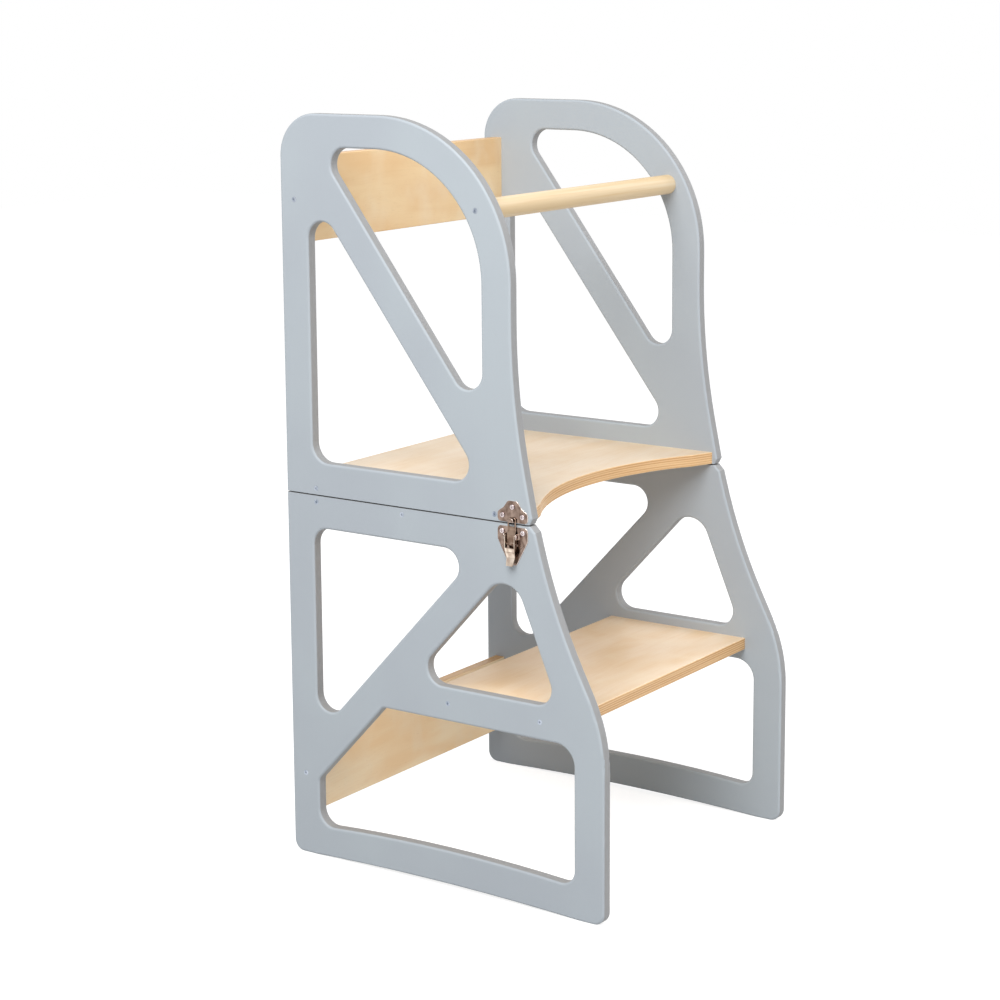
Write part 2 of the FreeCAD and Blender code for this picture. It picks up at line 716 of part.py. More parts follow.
def hinge_pin():
    """The pin of the left hinge."""
    body = new_body("hinge_left_pin")
    sketch = new_sketch(body, "hinge_left_pin_section", "YZ_Plane")
    add_circle(sketch, "pin", "0", "0", "Sizes.hinge_pin")
    pad(body, "hinge_left_pin_rod", sketch, "Sizes.hinge_length", both=True)
    place_on_pivot(body)
    return body


# Latches, drawn about the point where their centre line crosses the split line, on the panel's outer face --

CATCH_CORNERS = [
    ("low_rear", 20.5, 1.8, 4.5),
    ("high_rear", 20.5, 13.0, 6),
    ("waist_rear", 12.2, 18.4, 8),
    ("top_rear", 6.5, 26.5, 5.5),
    ("top_front", -6.5, 26.5, 5.5),
    ("waist_front", -12.2, 18.4, 8),
    ("high_front", -20.5, 13.0, 6),
    ("low_front", -20.5, 1.8, 4.5),
]
BASE_CORNERS = [
    ("high_rear", 20.5, -3.0, 5),
    ("low_rear", 20.5, -18.5, 6),
    ("tip_rear", 5.0, -47.5, 4),
    ("tip_front", -5.0, -47.5, 4),
    ("low_front", -20.5, -18.5, 6),
    ("high_front", -20.5, -3.0, 5),
]


def place_on_latch(body):
    """Moves a piece that is drawn about the latch's centre to the left panel's outer face."""
    body.setExpression("Placement.Base.x", "-Sizes.clear_width / 2 - Sizes.ply")
    body.setExpression("Placement.Base.y", "Sizes.latch_centre_y")
    body.setExpression("Placement.Base.z", PIVOT_Z)


def latch_plate(name, corners, group, screws):
    """A pressed plate on the panel's face, with holes for its screws."""
    body = new_body(name)
    sketch = new_sketch(body, name + "_outline", "YZ_Plane")
    add_polygon(sketch, [(corner, "%g" % across, "%g" % up) for corner, across, up, _ in corners])
    pad(body, name + "_sheet", sketch, "Sizes.plate", reverse=True)
    for corner, across, up, radius in corners:
        round_edges(body, "%s_%s" % (name, corner), "%g" % radius,
                    lambda edge: runs_along(edge, 0) and is_at(edge, y=across, z=up))
    round_edges(body, name + "_rim", "0.5 * Sizes.plate",
                lambda edge: edge.BoundBox.XLength < 1e-6 and is_at(edge, x=-size("plate")))
    holes = new_sketch(body, name + "_screw_places", "YZ_Plane")
    for screw, _, _ in screws:
        add_circle(holes, screw, "Sizes.%s_screw_%s_y" % (group, screw),
                   "Sizes.%s_screw_%s_z" % (group, screw), "Sizes.latch_screw_hole")
    pocket(body, name + "_drilled", holes, "3 * Sizes.plate", both=True)
    place_on_latch(body)
    return body


def latch_catch():
    """The catch plate, with a tongue that is bent out and up."""
    body = latch_plate("catch_plate_left", CATCH_CORNERS, "catch", CATCH_SCREWS)
    sketch = new_sketch(body, "catch_tongue_profile", "XZ_Plane")
    back = "-Sizes.tongue_reach + Sizes.tongue_ply"
    add_polygon(sketch, [
        ("root_low", "-Sizes.plate / 2", "Sizes.tongue_low"),
        ("bend", "-Sizes.tongue_reach", "Sizes.tongue_low"),
        ("tip_out", "-Sizes.tongue_reach", "Sizes.tongue_top"),
        ("tip_in", back, "Sizes.tongue_top"),
        ("crook", back, "Sizes.tongue_low + Sizes.tongue_ply"),
        ("root_high", "-Sizes.plate / 2", "Sizes.tongue_low + Sizes.tongue_ply"),
    ])
    pad(body, "catch_tongue", sketch, "Sizes.tongue_width", both=True)
    round_edges(body, "catch_tongue_bend", "1.5 * Sizes.tongue_ply",
                lambda edge: runs_along(edge, 1)
                and is_at(edge, x=-size("tongue_reach"), z=size("tongue_low")))
    round_edges(body, "catch_tongue_tip", "0.4 * Sizes.tongue_width",
                lambda edge: runs_along(edge, 0) and is_at(edge, z=size("tongue_top")))
    return body


def latch_base():
    """The base plate, with two ears that carry the lever."""
    body = latch_plate("latch_base_left", BASE_CORNERS, "base", BASE_SCREWS)
    centre = "Sizes.ear_inner_width / 2 + Sizes.plate / 2"
    for ear, sign in (("front", ""), ("rear", "-")):
        sketch = new_sketch(body, "latch_base_%s_ear" % ear, "XZ_Plane", "%s(%s)" % (sign, centre))
        low, high = "-Sizes.pivot_down - Sizes.ear_half", "-Sizes.pivot_down + Sizes.ear_half"
        add_polygon(sketch, rectangle("-Sizes.ear_reach", "-Sizes.plate / 2", low, high))
        pad(body, "latch_base_%s_ear_sheet" % ear, sketch, "Sizes.plate", both=True)
    round_edges(body, "latch_base_ear_ends", "Sizes.ear_round",
                lambda edge: runs_along(edge, 1) and is_at(edge, x=-size("ear_reach")))
    bore_across(body, "latch_base_pivot", "Sizes.pivot_out", "Sizes.pivot_down", "Sizes.latch_pin_hole")
    return body


def bore_across(body, name, out, down, diameter):
    """A hole along Y through everything."""
    sketch = new_sketch(body, name + "_hole", "XZ_Plane")
    add_circle(sketch, "hole", "-" + out, "-" + down, diameter)
    pocket(body, name + "_bored", sketch, "4 * Sizes.claw_width", both=True)


def latch_lever():
    """The finger lever: two flanges with eyes, joined below the claw's pin by a bent web."""
    name = "latch_lever_left"
    body = new_body(name)
    face, back, sheet_ply = "-Sizes.lever_face", "-Sizes.lever_back", "Sizes.lever_ply"
    width = "Sizes.lever_inner_width + 2 * Sizes.lever_ply"
    web = new_sketch(body, name + "_web_profile", "XZ_Plane")
    add_polygon(web, [
        ("top_out", face, "Sizes.web_top"),
        ("shoulder_out", face, "Sizes.web_shoulder"),
        ("hollow_out", face + " + Sizes.web_hollow_depth", "Sizes.web_hollow"),
        ("tip_out", face + " - Sizes.web_flare", "Sizes.lever_end"),
        ("tip_in", "%s - Sizes.web_flare + %s" % (face, sheet_ply), "Sizes.lever_end"),
        ("hollow_in", "%s + Sizes.web_hollow_depth + %s" % (face, sheet_ply), "Sizes.web_hollow"),
        ("shoulder_in", "%s + %s" % (face, sheet_ply), "Sizes.web_shoulder"),
        ("top_in", "%s + %s" % (face, sheet_ply), "Sizes.web_top"),
    ])
    pad(body, name + "_web", web, width, both=True)
    flange = new_sketch(body, name + "_flange_profile", "XZ_Plane")
    add_polygon(flange, [
        ("back_high", back, "-Sizes.pivot_down"),
        ("back_low", back, "Sizes.flange_low"),
        ("toe", face + " + Sizes.flange_toe_depth", "Sizes.flange_toe"),
        ("toe_out", face + " + Sizes.flange_toe_depth / 2", "Sizes.flange_toe"),
        ("face_low", face, "Sizes.web_shoulder"),
        ("face_high", face, "-Sizes.pivot_down"),
    ])
    pad(body, name + "_flange_block", flange, width, both=True)
    eye = new_sketch(body, name + "_eye_profile", "XZ_Plane")
    add_circle(eye, "eye", "-Sizes.pivot_out", "-Sizes.pivot_down", "Sizes.pivot_eye")
    pad(body, name + "_eye_block", eye, width, both=True)
    inside = new_sketch(body, name + "_inside_profile", "XZ_Plane")
    add_polygon(inside, [
        ("out_high", face + " * 3", "-Sizes.pivot_down / 3"),
        ("out_low", face + " * 3", "Sizes.web_top"),
        ("web_high", "%s + %s" % (face, sheet_ply), "Sizes.web_top"),
        ("web_low", "%s + %s" % (face, sheet_ply), "Sizes.web_shoulder"),
        ("toe", face + " + 1.2 * Sizes.flange_toe_depth", "Sizes.flange_toe - 0.1"),
        ("back_low", "0", "Sizes.flange_toe - 0.1"),
        ("back_high", "0", "-Sizes.pivot_down / 3"),
    ])
    pocket(body, name + "_hollow", inside, "Sizes.lever_inner_width", both=True)
    taper = new_sketch(body, name + "_taper", "YZ_Plane")
    below = "Sizes.lever_end - Sizes.lever_ply"
    for side, sign in (("front", "-"), ("rear", "")):
        add_polygon(taper, [
            (side + "_start", "%s(%s) / 2" % (sign, width), "Sizes.web_shoulder"),
            (side + "_end", sign + "Sizes.lever_end_width / 2", below),
            (side + "_out_end", sign + "Sizes.lever_inner_width", below),
            (side + "_out_start", sign + "Sizes.lever_inner_width", "Sizes.web_shoulder"),
        ])
    pocket(body, name + "_tapered", taper, "4 * Sizes.claw_width", both=True)
    bore_across(body, name + "_pivot", "Sizes.pivot_out", "Sizes.pivot_down", "Sizes.latch_pin_hole")
    bore_across(body, name + "_claw_pin", "Sizes.claw_pin_out", "Sizes.claw_pin_down", "Sizes.latch_pin_hole")
    place_on_latch(body)
    return body


def latch_claw():
    """The claw: a joggled strap with a window, whose top bar sits behind the catch's tongue."""
    name = "latch_claw_left"
    body = new_body(name)
    inner = "-Sizes.claw_face + Sizes.claw_ply"
    joggle, joggle_inner = "-Sizes.claw_joggle_face", "-Sizes.claw_joggle_face + Sizes.claw_ply"
    strap = new_sketch(body, name + "_profile", "XZ_Plane")
    add_polygon(strap, [
        ("pin_out", joggle, "-Sizes.claw_pin_down"),
        ("joggle_out", joggle, "Sizes.joggle_low"),
        ("upper_out", "-Sizes.claw_face", "Sizes.joggle_high"),
        ("top_out", "-Sizes.claw_face", "Sizes.claw_top"),
        ("top_in", inner, "Sizes.claw_top"),
        ("upper_in", inner, "Sizes.joggle_high + Sizes.joggle_slack"),
        ("joggle_in", joggle_inner, "Sizes.joggle_low + Sizes.joggle_slack"),
        ("pin_in", joggle_inner, "-Sizes.claw_pin_down"),
    ])
    pad(body, name + "_strap", strap, "Sizes.claw_width", both=True)
    knuckle = new_sketch(body, name + "_knuckle_profile", "XZ_Plane")
    add_circle(knuckle, "knuckle", "-Sizes.claw_pin_out", "-Sizes.claw_pin_down", "Sizes.claw_knuckle")
    pad(body, name + "_knuckle", knuckle, "Sizes.claw_width", both=True)
    bore_across(body, name + "_pin", "Sizes.claw_pin_out", "Sizes.claw_pin_down", "Sizes.latch_pin_hole")
    window = new_sketch(body, name + "_window", "YZ_Plane")
    add_polygon(window, rectangle("-Sizes.window_width / 2", "Sizes.window_width / 2",
                                  "Sizes.window_low", "Sizes.claw_bar_low"))
    pocket(body, name + "_window_cut", window, "2 * Sizes.claw_width", both=True)
    round_edges(body, name + "_shoulders", "Sizes.claw_shoulder",
                lambda edge: runs_along(edge, 0) and is_at(edge, z=size("claw_top")))
    place_on_latch(body)
    return body


def latch_pins():
    """The claw's pin in the lever, and the two rivets that the lever turns on."""
    pin = new_body("latch_lever_pin_left")
    section = new_sketch(pin, "latch_lever_pin_section", "XZ_Plane")
    add_circle(section, "pin", "-Sizes.claw_pin_out", "-Sizes.claw_pin_down", "Sizes.latch_pin")
    pad(pin, "latch_lever_pin_rod", section, "Sizes.lever_inner_width + 2 * Sizes.lever_ply + 0.4", both=True)
    place_on_latch(pin)
    rivets = new_body("latch_pivot_rivets_left")
    inner, outer = "Sizes.lever_inner_width / 2", "(Sizes.ear_inner_width / 2 + Sizes.plate)"
    for ear, sign in (("front", ""), ("rear", "-")):
        shank = new_sketch(rivets, "latch_rivet_shank_" + ear, "XZ_Plane",
                           "%s(%s + %s) / 2" % (sign, inner, outer))
        add_circle(shank, "shank", "-Sizes.pivot_out", "-Sizes.pivot_down", "Sizes.latch_pin")
        pad(rivets, "latch_rivet_rod_" + ear, shank, "%s - %s" % (outer, inner), both=True)
        head = new_sketch(rivets, "latch_rivet_head_" + ear, "XZ_Plane",
                          "%s(%s + Sizes.rivet_head_height / 2)" % (sign, outer))
        add_circle(head, "head", "-Sizes.pivot_out", "-Sizes.pivot_down", "Sizes.rivet_head")
        pad(rivets, "latch_rivet_cap_" + ear, head, "Sizes.rivet_head_height", both=True)
    place_on_latch(rivets)
    return [pin, rivets]


# The whole tower ----------------------------------------------------------------------------------------

def lower_section():
    """The pieces that stand on the floor."""
    panel = side_panel("lower_side_left", "lower", LOWER_PANEL, LOWER_PANEL_HOLES, LOWER_SCREWS,
                       "base", BASE_SCREWS)
    step = board("step_board", plain_outline("Sizes.step_front", "Sizes.step_rear"),
                 "Sizes.step_top - Sizes.ply", "lower", ["step_front", "step_rear"])
    hinge_board = board("hinge_board", plain_outline("Sizes.hinge_board_front", "Sizes.rear_edge"),
                        "Sizes.split_low - Sizes.ply", "lower", ["hinge_board_front", "hinge_board_rear"])
    let_in_hinges(hinge_board, "hinge_board", "Sizes.split_low", False)
    stretcher = board("lower_rear_board",
                      plain_outline("Sizes.rear_board_front", "Sizes.rear_board_front + Sizes.ply"),
                      "Sizes.stretcher_bottom", "lower", ["stretcher"],
                      "Sizes.stretcher_top - Sizes.stretcher_bottom")
    screws = panel_screws("lower_left_screws", "lower", LOWER_SCREWS)
    return [panel, mirror(panel, "lower_side_right"), step, hinge_board, stretcher,
            screws, mirror(screws, "lower_right_screws")]


def upper_section():
    """The pieces that fold over."""
    panel = side_panel("upper_side_left", "upper", UPPER_PANEL, UPPER_PANEL_HOLES, UPPER_SCREWS,
                       "catch", CATCH_SCREWS)
    platform = board("platform", platform_outline, "Sizes.split_high", "upper",
                     ["platform_front", "platform_rear"])
    let_in_hinges(platform, "platform", "Sizes.split_high", True)
    guard = board("upper_rear_board",
                  plain_outline("Sizes.rear_board_front", "Sizes.rear_board_front + Sizes.ply"),
                  "Sizes.guard_bottom", "upper", ["guard"], "Sizes.guard_top - Sizes.guard_bottom")
    screws = panel_screws("upper_left_screws", "upper", UPPER_SCREWS)
    return [panel, mirror(panel, "upper_side_right"), platform, guard, rail(),
            screws, mirror(screws, "upper_right_screws")]


def hinges():
    """The two rear hinges with their screws."""
    pieces = [hinge_leaf("hinge_left_lower_leaf", False)]
    pieces += [hinge_leaf("hinge_left_upper_leaf", True), hinge_pin()]
    pieces += [mirror(piece, piece.Label.replace("left", "right")) for piece in pieces]
    return pieces + [hinge_screws("hinge_lower_screws", False), hinge_screws("hinge_upper_screws", True)]


def latches():
    """Both draw latches."""
    pieces = [latch_base(), latch_catch(), latch_lever(), latch_claw()] + latch_pins()
    pieces.append(domed_screws("latch_base_screws_left", "base", BASE_SCREWS))
    pieces.append(domed_screws("catch_screws_left", "catch", CATCH_SCREWS))
    return pieces + [mirror(piece, piece.Label.replace("left", "right")) for piece in pieces]


def check(pieces):
    """Stops if anything failed to compute, or a piece isn't a valid solid."""
    for thing in doc.Objects:
        if "Invalid" in thing.State or "Error" in thing.State:
            raise RuntimeError("%s failed: %s" % (thing.Name, thing.State))
    for piece in pieces:
        shape = piece.Shape
        if shape.isNull() or not shape.isValid() or not shape.Solids:
            raise RuntimeError("%s is not a valid solid" % piece.Label)


def export(pieces):
    """Writes each piece under its own name."""
    os.makedirs("parts", exist_ok=True)
    for piece in pieces:
        piece.Shape.exportStep("parts/%s.step" % piece.Label)
        box = piece.Shape.BoundBox
        print("%-26s solids %d  volume %10.1f  x %7.1f %7.1f  y %7.1f %7.1f  z %7.1f %7.1f"
              % (piece.Label, len(piece.Shape.Solids), piece.Shape.Volume,
                 box.XMin, box.XMax, box.YMin, box.YMax, box.ZMin, box.ZMax))


fill_sheet()
all_pieces = lower_section() + upper_section() + hinges() + latches()
doc.recompute()
check(all_pieces)
export(all_pieces)
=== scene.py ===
import math

import bpy
from mathutils import Matrix, Vector


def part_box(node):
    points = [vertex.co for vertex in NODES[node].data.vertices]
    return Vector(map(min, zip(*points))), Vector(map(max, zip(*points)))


# A child's kitchen tower: painted plywood sides, lacquered birch boards and nickel-plated draw latches.
# Metres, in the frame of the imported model: +Z is up, and the child climbs in from -Y.

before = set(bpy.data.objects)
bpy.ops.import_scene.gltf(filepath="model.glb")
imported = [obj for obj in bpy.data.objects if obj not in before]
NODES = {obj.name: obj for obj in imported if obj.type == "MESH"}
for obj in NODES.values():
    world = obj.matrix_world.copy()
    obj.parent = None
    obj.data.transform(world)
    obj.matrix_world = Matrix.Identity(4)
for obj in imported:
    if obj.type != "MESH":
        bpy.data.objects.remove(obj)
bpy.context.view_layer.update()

MM = 0.001
X, Y, Z = range(3)
SMOOTH = {"interpolation_type": "SMOOTHSTEP"}
COLOURS = {"data_type": "RGBA"}

# The plywood's thickness and its plies.
BOARD = 15 * MM
PLIES = 11
# How far the figure of a veneer wanders from a straight line.
WANDER = 50 * MM
# How strongly hands have rubbed the painted edges paler, a tint that is also a painted highlight along their
# rounding.
WEAR_AND_HIGHLIGHT_STRENGTH = 0.1
# How far the pores lie below the streaks, as a share of the streaks' relief.
PORE_DEPTH = -0.6
# How much the pits of a plated skin vary its roughness.
PIT_SPREAD = 0.1

# The latches' sheet metal: its meshes are loose triangles, so they are welded before the edges are rounded.
WELD = 0.01 * MM
EDGE_RADIUS = 0.4 * MM
EDGE_SEGMENTS = 3
SHARP_ANGLE = math.radians(35)

FLOOR_WIDTH = 14.0
FLOOR_GLOW = 0.8
ROOM_LIGHT = 0.48
# Each lamp: its place, the point that it faces, its width in metres and its power in watts.
LAMPS = {
    "lamp_above_near_side": ((-1.9, -0.5, 2.5), (0.0, 0.0, 0.9), 2.2, 77.0),
    "lamp_in_front": ((0.5, -3.2, 0.9), (0.0, 0.0, 0.4), 2.0, 27.0),
    "lamp_beside_far_side": ((3.2, -1.2, 2.2), (0.0, 0.0, 0.5), 2.4, 38.0),
}

# The camera looks at the tower from its left front, and stands a little above its top.
CAMERA_PLACE = (-2.371, -1.585, 1.042)
CAMERA_YAW, CAMERA_PITCH, CAMERA_ROLL = (math.radians(angle) for angle in (55.01, 10.14, -0.403))
CAMERA_LENS_MM = 86.096
# The photograph is cropped off its centre, by these shares of its width.
CAMERA_SHIFT = (0.00973, -0.08529)


# Materials ----------------------------------------------------------------------------------------------

def linear(hex_colour):
    """An sRGB hex colour as linear RGBA."""
    channels = [int(hex_colour[place:place + 2], 16) / 255 for place in (1, 3, 5)]
    return tuple(c / 12.92 if c <= 0.04045 else ((c + 0.055) / 1.055) ** 2.4 for c in channels) + (1.0,)


def add(tree, kind, settings=None, inputs=None):
    """Adds a node, sets its properties, and fills its sockets, which are found by their name or their place.
    A socket takes a number, a colour, another node's output, or a node, whose first live output it takes."""
    node = tree.nodes.new("ShaderNode" + kind)
    for name, value in (settings or {}).items():
        setattr(node, name, value)
    for key, value in (inputs or {}).items():
        socket = next(s for place, s in enumerate(node.inputs) if s.enabled and key in (place, s.name))
        if isinstance(value, bpy.types.Node):
            value = next(output for output in value.outputs if output.enabled)
        if isinstance(value, bpy.types.NodeSocket):
            tree.links.new(value, socket)
        else:
            socket.default_value = value
    return node


def new_material(name):
    """A material with an empty node tree."""
    material = bpy.data.materials.new(name)
    material.use_nodes = True
    material.node_tree.nodes.clear()
    return material, material.node_tree


def surface(tree):
    """Where a point is on its piece, and how squarely its surface faces along X, Y and Z, from 0 to 1."""
    place = add(tree, "TexCoord")
    parts = add(tree, "SeparateXYZ", inputs={"Vector": place.outputs["Normal"]})
    facing = [add(tree, "Math", {"operation": "ABSOLUTE"}, {0: part}) for part in parts.outputs]
    return place.outputs["Object"], facing


def patterns(tree, place, table):
    """The noise patterns of a finish. The table gives each one the size of its grains in millimetres along X,
    Y and Z, how many octaves of finer detail it has, and how strong they are."""
    made = {}
    for name, (size_mm, detail, roughness) in table.items():
        scale = tuple(1 / (size * MM) for size in size_mm)
        stretched = add(tree, "Mapping", inputs={"Vector": place, "Scale": scale})
        made[name] = add(tree, "TexNoise", inputs={"Vector": stretched, "Scale": 1.0, "Detail": detail,
                                                   "Roughness": roughness})
    return made


def lay_over(tree, ground, *layers):
    """Lays tints over a ground. Each layer starts to show where its pattern has the first value, has its full
    strength where the pattern has the second, and has a colour, in hex or made by nodes."""
    for pattern, first, second, strength, colour in layers:
        amount = add(tree, "MapRange", SMOOTH, {"Value": pattern, "From Min": first, "From Max": second,
                                                "To Max": strength})
        tint = linear(colour) if isinstance(colour, str) else colour
        ground = add(tree, "Mix", COLOURS, {"Factor": amount, "A": ground, "B": tint})
    return ground


def painted_plywood():
    """Birch plywood sprayed with two coats of satin water-based enamel, blue-grey: an even colour, a soft
    broad highlight, a faint orange peel, and the grain of the face veneer just telling through the paint."""
    material, tree = new_material("painted_plywood")
    place, (across, _, _) = surface(tree)
    made = patterns(tree, place, {
        "cloud": ((150, 150, 190), 2.0, 0.5),
        "fibres": ((1.3, 9, 9), 2.0, 0.5),
        "wear_and_highlight": ((14, 14, 30), 4.0, 0.5),
        "grain": ((1.6, 1.6, 70), 3.0, 0.5),
        "peel": ((2.6, 2.6, 2.6), 2.0, 0.5),
    })
    # The routed edges are painted a little darker and greyer than the faces: this is painted shade on the
    # edges.
    painted_shade_edge_colour = lay_over(tree, linear("#949494"), (made["fibres"], 0.3, 0.7, 1.0, "#999A9C"))
    colour = lay_over(tree, linear("#AAB1B8"), (made["cloud"], 0.3, 0.7, 1.0, "#AEB6BC"),
                      (across, 0.6, 0.1, 1.0, painted_shade_edge_colour))
    # Hands rub the rounded edges paler, in patches, and the paler band is also a painted highlight on the
    # rounding. With n2 the square of the normal's part across the tower, 4 n2 (1 - n2) is highest, at 1, where
    # the normal is at 45 degrees.
    squared = add(tree, "Math", {"operation": "MULTIPLY"}, {0: across, 1: across})
    left_over = add(tree, "Math", {"operation": "SUBTRACT"}, {0: 1.0, 1: squared})
    halved = add(tree, "Math", {"operation": "MULTIPLY"}, {0: squared, 1: left_over})
    rounded = add(tree, "Math", {"operation": "MULTIPLY"}, {0: halved, 1: 4.0})
    worn = add(tree, "MapRange", SMOOTH, {"Value": made["wear_and_highlight"], "From Min": 0.42, "From Max": 0.75})
    rubbed_and_highlight = add(tree, "Math", {"operation": "MULTIPLY"}, {0: rounded, 1: worn})
    wear_and_highlight = add(tree, "Math", {"operation": "MULTIPLY"}, {0: rubbed_and_highlight, 1: WEAR_AND_HIGHLIGHT_STRENGTH})
    colour = add(tree, "Mix", COLOURS, {"Factor": wear_and_highlight, "A": colour, "B": linear("#CBD1D5")})
    roughness = add(tree, "MapRange", SMOOTH, {"Value": made["grain"], "From Min": 0.2, "From Max": 0.8,
                                               "To Min": 0.56, "To Max": 0.66})
    veneer = add(tree, "Bump", inputs={"Height": made["grain"], "Distance": 0.03 * MM, "Strength": 0.5})
    relief = add(tree, "Bump", inputs={"Height": made["peel"], "Distance": 0.04 * MM, "Strength": 0.5,
                                       "Normal": veneer})
    shader = add(tree, "BsdfPrincipled", inputs={"Base Color": colour, "Roughness": roughness,
                                                 "Normal": relief})
    add(tree, "OutputMaterial", inputs={"Surface": shader})
    return material


def birch_plywood(name, grain_axis, ply_axis, underside, pale, tan):
    """Rotary-cut birch plywood under clear satin lacquer: a pale, silky face with broad soft clouds, long
    faint streaks and short pores, and on the edges the eleven plies, where end grain is darker than long grain.
    The underside is where the first ply starts along the ply axis."""
    material, tree = new_material(name)
    place, facing = surface(tree)

    def along(fine, long):
        """Grains that are fine across the board's grain and long along it."""
        return tuple(long if axis == grain_axis else fine for axis in range(3))

    def in_ply(thick, wide):
        """Grains that are as thick as given through the plies and wide along them."""
        return tuple(thick if axis == ply_axis else wide for axis in range(3))

    # The veneer's figure wanders along a slow warp.
    warp = patterns(tree, place, {"warp": (along(90, 260), 2.0, 0.5)})["warp"]
    warp_vector = add(tree, "CombineXYZ", inputs={"X": warp, "Y": warp, "Z": warp})
    bent = add(tree, "VectorMath", {"operation": "MULTIPLY_ADD"}, {0: warp_vector, 1: (WANDER,) * 3, 2: place})
    bands = patterns(tree, bent, {
        "clouds": (along(34, 120), 2.0, 0.5),
        "figure": (along(11, 260), 3.0, 0.55),
        "streaks": (along(2.4, 130), 3.0, 0.6),
        # Real pores are about 0.1 mm across: they are drawn as dashes of 0.7 mm, so that they show.
        "pores": (along(0.7, 9), 1.0, 0.5),
    })
    straight = patterns(tree, place, {
        "flame": (along(60, 38), 2.0, 0.5),
        "tone": (in_ply(1.9, 160), 1.0, 0.5),
        "fibre": (in_ply(0.5, 3.0), 3.0, 0.5),
    })
    face = lay_over(tree, linear(pale),
                    (bands["clouds"], 0.3, 0.72, 1.0, tan),
                    (bands["figure"], 0.45, 0.8, 0.35, tan),
                    (bands["streaks"], 0.5, 0.85, 0.16, "#CFA672"),
                    (straight["flame"], 0.45, 0.75, 0.35, "#F6E3C6"),
                    (bands["pores"], 0.66, 0.76, 0.16, "#B68F5E"))

    # Up through the board: which ply a point is in, how far up in that ply, and whether it shows end grain.
    height = add(tree, "SeparateXYZ", inputs={"Vector": place}).outputs[ply_axis]
    above = add(tree, "Math", {"operation": "SUBTRACT"}, {0: height, 1: underside})
    depth = add(tree, "Math", {"operation": "DIVIDE"}, {0: above, 1: BOARD / PLIES})
    layer = add(tree, "Math", {"operation": "FLOOR"}, {0: depth})
    inside = add(tree, "Math", {"operation": "SUBTRACT"}, {0: depth, 1: layer})
    end_grain = add(tree, "Math", {"operation": "MODULO"}, {0: layer, 1: 2.0})
    # Each ply is cut from another log, so it has a tone of its own, which wanders along the edge.
    long_ply, end_ply = (
        add(tree, "Mix", COLOURS, {"Factor": straight["fibre"], "A": linear(light), "B": linear(dark)})
        for light, dark in (("#EBC795", "#DDB27C"), ("#D3A169", "#C08A52")))
    darkening = add(tree, "MapRange", SMOOTH, {"Value": straight["tone"], "From Min": 0.3, "From Max": 0.6,
                                               "To Min": 0.25, "To Max": 1.0})
    end_share = add(tree, "Math", {"operation": "MULTIPLY"}, {0: end_grain, 1: darkening})
    ply = add(tree, "Mix", COLOURS, {"Factor": end_share, "A": long_ply, "B": end_ply})
    # Thin dark glue lines lie between the plies.
    from_middle = add(tree, "Math", {"operation": "SUBTRACT"}, {0: inside, 1: 0.5})
    off_middle = add(tree, "Math", {"operation": "ABSOLUTE"}, {0: from_middle})
    glue = add(tree, "MapRange", SMOOTH, {"Value": off_middle, "From Min": 0.34, "From Max": 0.5})
    strength = add(tree, "MapRange", SMOOTH, {"Value": straight["tone"], "From Min": 0.4, "From Max": 0.65,
                                              "To Min": 0.05, "To Max": 0.5})
    glue_share = add(tree, "Math", {"operation": "MULTIPLY"}, {0: glue, 1: strength})
    ply = add(tree, "Mix", COLOURS, {"Factor": glue_share, "A": ply, "B": linear("#8A5F35")})
    on_face = add(tree, "MapRange", SMOOTH, {"Value": facing[ply_axis], "From Min": 0.55, "From Max": 0.85})
    colour = add(tree, "Mix", COLOURS, {"Factor": on_face, "A": ply, "B": face})

    roughness = add(tree, "MapRange", SMOOTH, {"Value": bands["streaks"], "From Min": 0.3, "From Max": 0.8,
                                               "To Min": 0.34, "To Max": 0.46})
    # On the edges end grain stands up and glue lies low. On the faces the pores lie low between the streaks.
    on_edge = add(tree, "Math", {"operation": "SUBTRACT"}, {0: 1.0, 1: on_face})
    ply_height = add(tree, "Math", {"operation": "SUBTRACT"}, {0: end_grain, 1: glue})
    steps = add(tree, "Math", {"operation": "MULTIPLY"}, {0: on_edge, 1: ply_height})
    open_pores = add(tree, "MapRange", SMOOTH, {"Value": bands["pores"], "From Min": 0.66, "From Max": 0.76})
    raised = add(tree, "Math", {"operation": "MULTIPLY_ADD"}, {0: open_pores, 1: PORE_DEPTH,
                                                               2: bands["streaks"]})
    edge_relief = add(tree, "Bump", inputs={"Height": steps, "Distance": 0.08 * MM, "Strength": 0.5})
    relief = add(tree, "Bump", inputs={"Height": raised, "Distance": 0.04 * MM, "Strength": 0.5,
                                       "Normal": edge_relief})
    shader = add(tree, "BsdfPrincipled", inputs={"Base Color": colour, "Roughness": roughness,
                                                 "Normal": relief})
    add(tree, "OutputMaterial", inputs={"Surface": shader})
    return material


def birch_dowel():
    """A turned birch rod under the same lacquer: straight fine grain along the rod, with a soft sheen."""
    material, tree = new_material("birch_dowel")
    made = patterns(tree, add(tree, "TexCoord").outputs["Object"], {
        "streaks": ((140, 2.4, 2.4), 4.0, 0.6),
        "rings": ((420, 9, 9), 2.0, 0.5),
    })
    colour = lay_over(tree, linear("#E6D3B4"), (made["rings"], 0.3, 0.7, 1.0, "#DCC299"),
                      (made["streaks"], 0.48, 0.8, 0.45, "#CFAA76"))
    roughness = add(tree, "MapRange", SMOOTH, {"Value": made["streaks"], "From Min": 0.3, "From Max": 0.8,
                                               "To Min": 0.6, "To Max": 0.7})
    relief = add(tree, "Bump", inputs={"Height": made["streaks"], "Distance": 0.04 * MM, "Strength": 0.5})
    shader = add(tree, "BsdfPrincipled", inputs={"Base Color": colour, "Roughness": roughness,
                                                 "Normal": relief})
    add(tree, "OutputMaterial", inputs={"Surface": shader})
    return material


